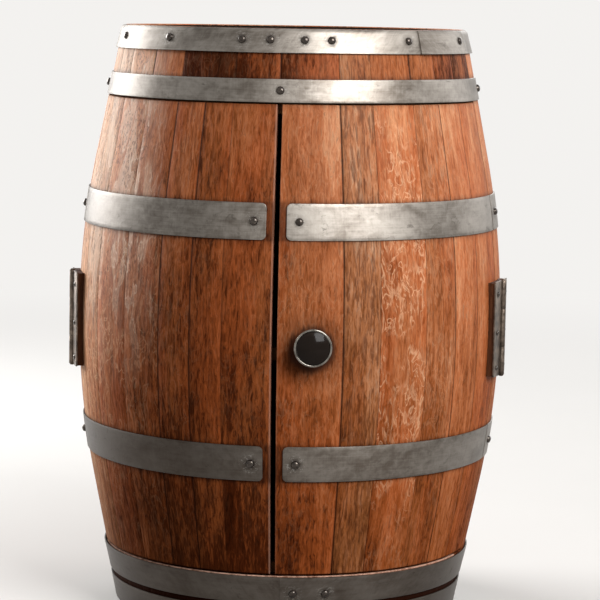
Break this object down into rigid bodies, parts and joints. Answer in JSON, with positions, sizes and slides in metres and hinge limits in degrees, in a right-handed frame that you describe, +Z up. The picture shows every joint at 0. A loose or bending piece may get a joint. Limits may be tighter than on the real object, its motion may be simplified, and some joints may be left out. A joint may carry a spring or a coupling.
{
  "type": "barrel bar cabinet",
  "caption": "Upright oak wine barrel made into a bar cabinet, with two curved stave doors on butt hinges, steel hoops, a round knob and a shelf inside.",
  "frame": {"origin": "on the barrel's vertical axis, at the level of the floor that the stave ends stand on", "axes": "+Z up along the barrel's axis; the doors meet at the front, on -Y; +X is the right-hand side seen from the front"},
  "size_m": [0.714, 0.7288, 0.95],
  "materials": {
    "stave_oak": "oiled oak staves, orange-brown, open grain with ray fleck",
    "plain_oak": "planed oak, light oil",
    "dark_top": "oak board stained dark, satin",
    "galvanised_hoops": "galvanised strip steel, clouded and scratched",
    "dome_nails": "domed steel heads, dark and worn",
    "hinge_steel": "dark grey steel with worn edges",
    "packing_blocks": "dark stained hardwood",
    "knob_steel": "polished steel",
    "knob_face": "black, glossy, domed",
    "zinc_hardware": "zinc plated steel",
    "catch_plastic": "brown moulded plastic round a magnet"
  },
  "bodies": {
    "cabinet": {"upper_front_staves": "stave_oak", "lower_front_staves": "stave_oak", "right_rear_staves": "stave_oak", "rear_staves": "stave_oak", "left_rear_staves": "stave_oak", "top_hoop": "galvanised_hoops", "upper_quarter_hoop": "galvanised_hoops", "lower_quarter_hoop": "galvanised_hoops", "bottom_hoop": "galvanised_hoops", "upper_rear_strap": "galvanised_hoops", "lower_rear_strap": "galvanised_hoops", "top_head": "plain_oak", "inset_top": "dark_top", "bottom_head": "plain_oak", "shelf": "plain_oak", "shelf_cleats": "plain_oak", "upper_stop_rail": "plain_oak", "lower_stop_rail": "plain_oak", "door_catches": "catch_plastic", "left_frame_hinge_leaf": "hinge_steel", "right_frame_hinge_leaf": "hinge_steel", "hinge_pins": "hinge_steel", "frame_hinge_blocks": "packing_blocks", "frame_hinge_screws": "hinge_steel", "hoop_nails": "dome_nails", "rear_strap_screws": "dome_nails"},
    "left_door": {"left_door_stave_1": "stave_oak", "left_door_stave_2": "stave_oak", "left_door_stave_3": "stave_oak", "left_door_stave_4": "stave_oak", "left_door_stave_5": "stave_oak", "left_door_stave_6": "stave_oak", "left_door_stave_7": "stave_oak", "left_door_upper_strap": "galvanised_hoops", "left_door_lower_strap": "galvanised_hoops", "left_door_battens": "plain_oak", "left_strike_plate": "zinc_hardware", "left_door_hinge_leaf": "hinge_steel", "left_door_hinge_block": "packing_blocks", "left_door_rivets": "dome_nails", "left_door_hinge_screws": "hinge_steel"},
    "right_door": {"right_door_stave_1": "stave_oak", "right_door_stave_2": "stave_oak", "right_door_stave_3": "stave_oak", "right_door_stave_4": "stave_oak", "right_door_stave_5": "stave_oak", "right_door_stave_6": "stave_oak", "right_door_upper_strap": "galvanised_hoops", "right_door_lower_strap": "galvanised_hoops", "right_door_battens": "plain_oak", "right_strike_plate": "zinc_hardware", "right_door_hinge_leaf": "hinge_steel", "right_door_hinge_block": "packing_blocks", "right_door_rivets": "dome_nails", "right_door_hinge_screws": "hinge_steel", "knob_neck": "knob_steel", "knob_head": "knob_steel", "knob_face": "knob_face", "knob_bolt": "zinc_hardware"}
  },
  "joints": [
    {"name": "left_door_hinge", "type": "hinge", "parent": "cabinet", "child": "left_door", "pos_m": [-0.35077, -0.08098, 0.473], "axis": [0, 0, -1], "range_deg": [0, 160]},
    {"name": "right_door_hinge", "type": "hinge", "parent": "cabinet", "child": "right_door", "pos_m": [0.35077, -0.08098, 0.473], "axis": [0, 0, 1], "range_deg": [0, 160]}
  ]
}
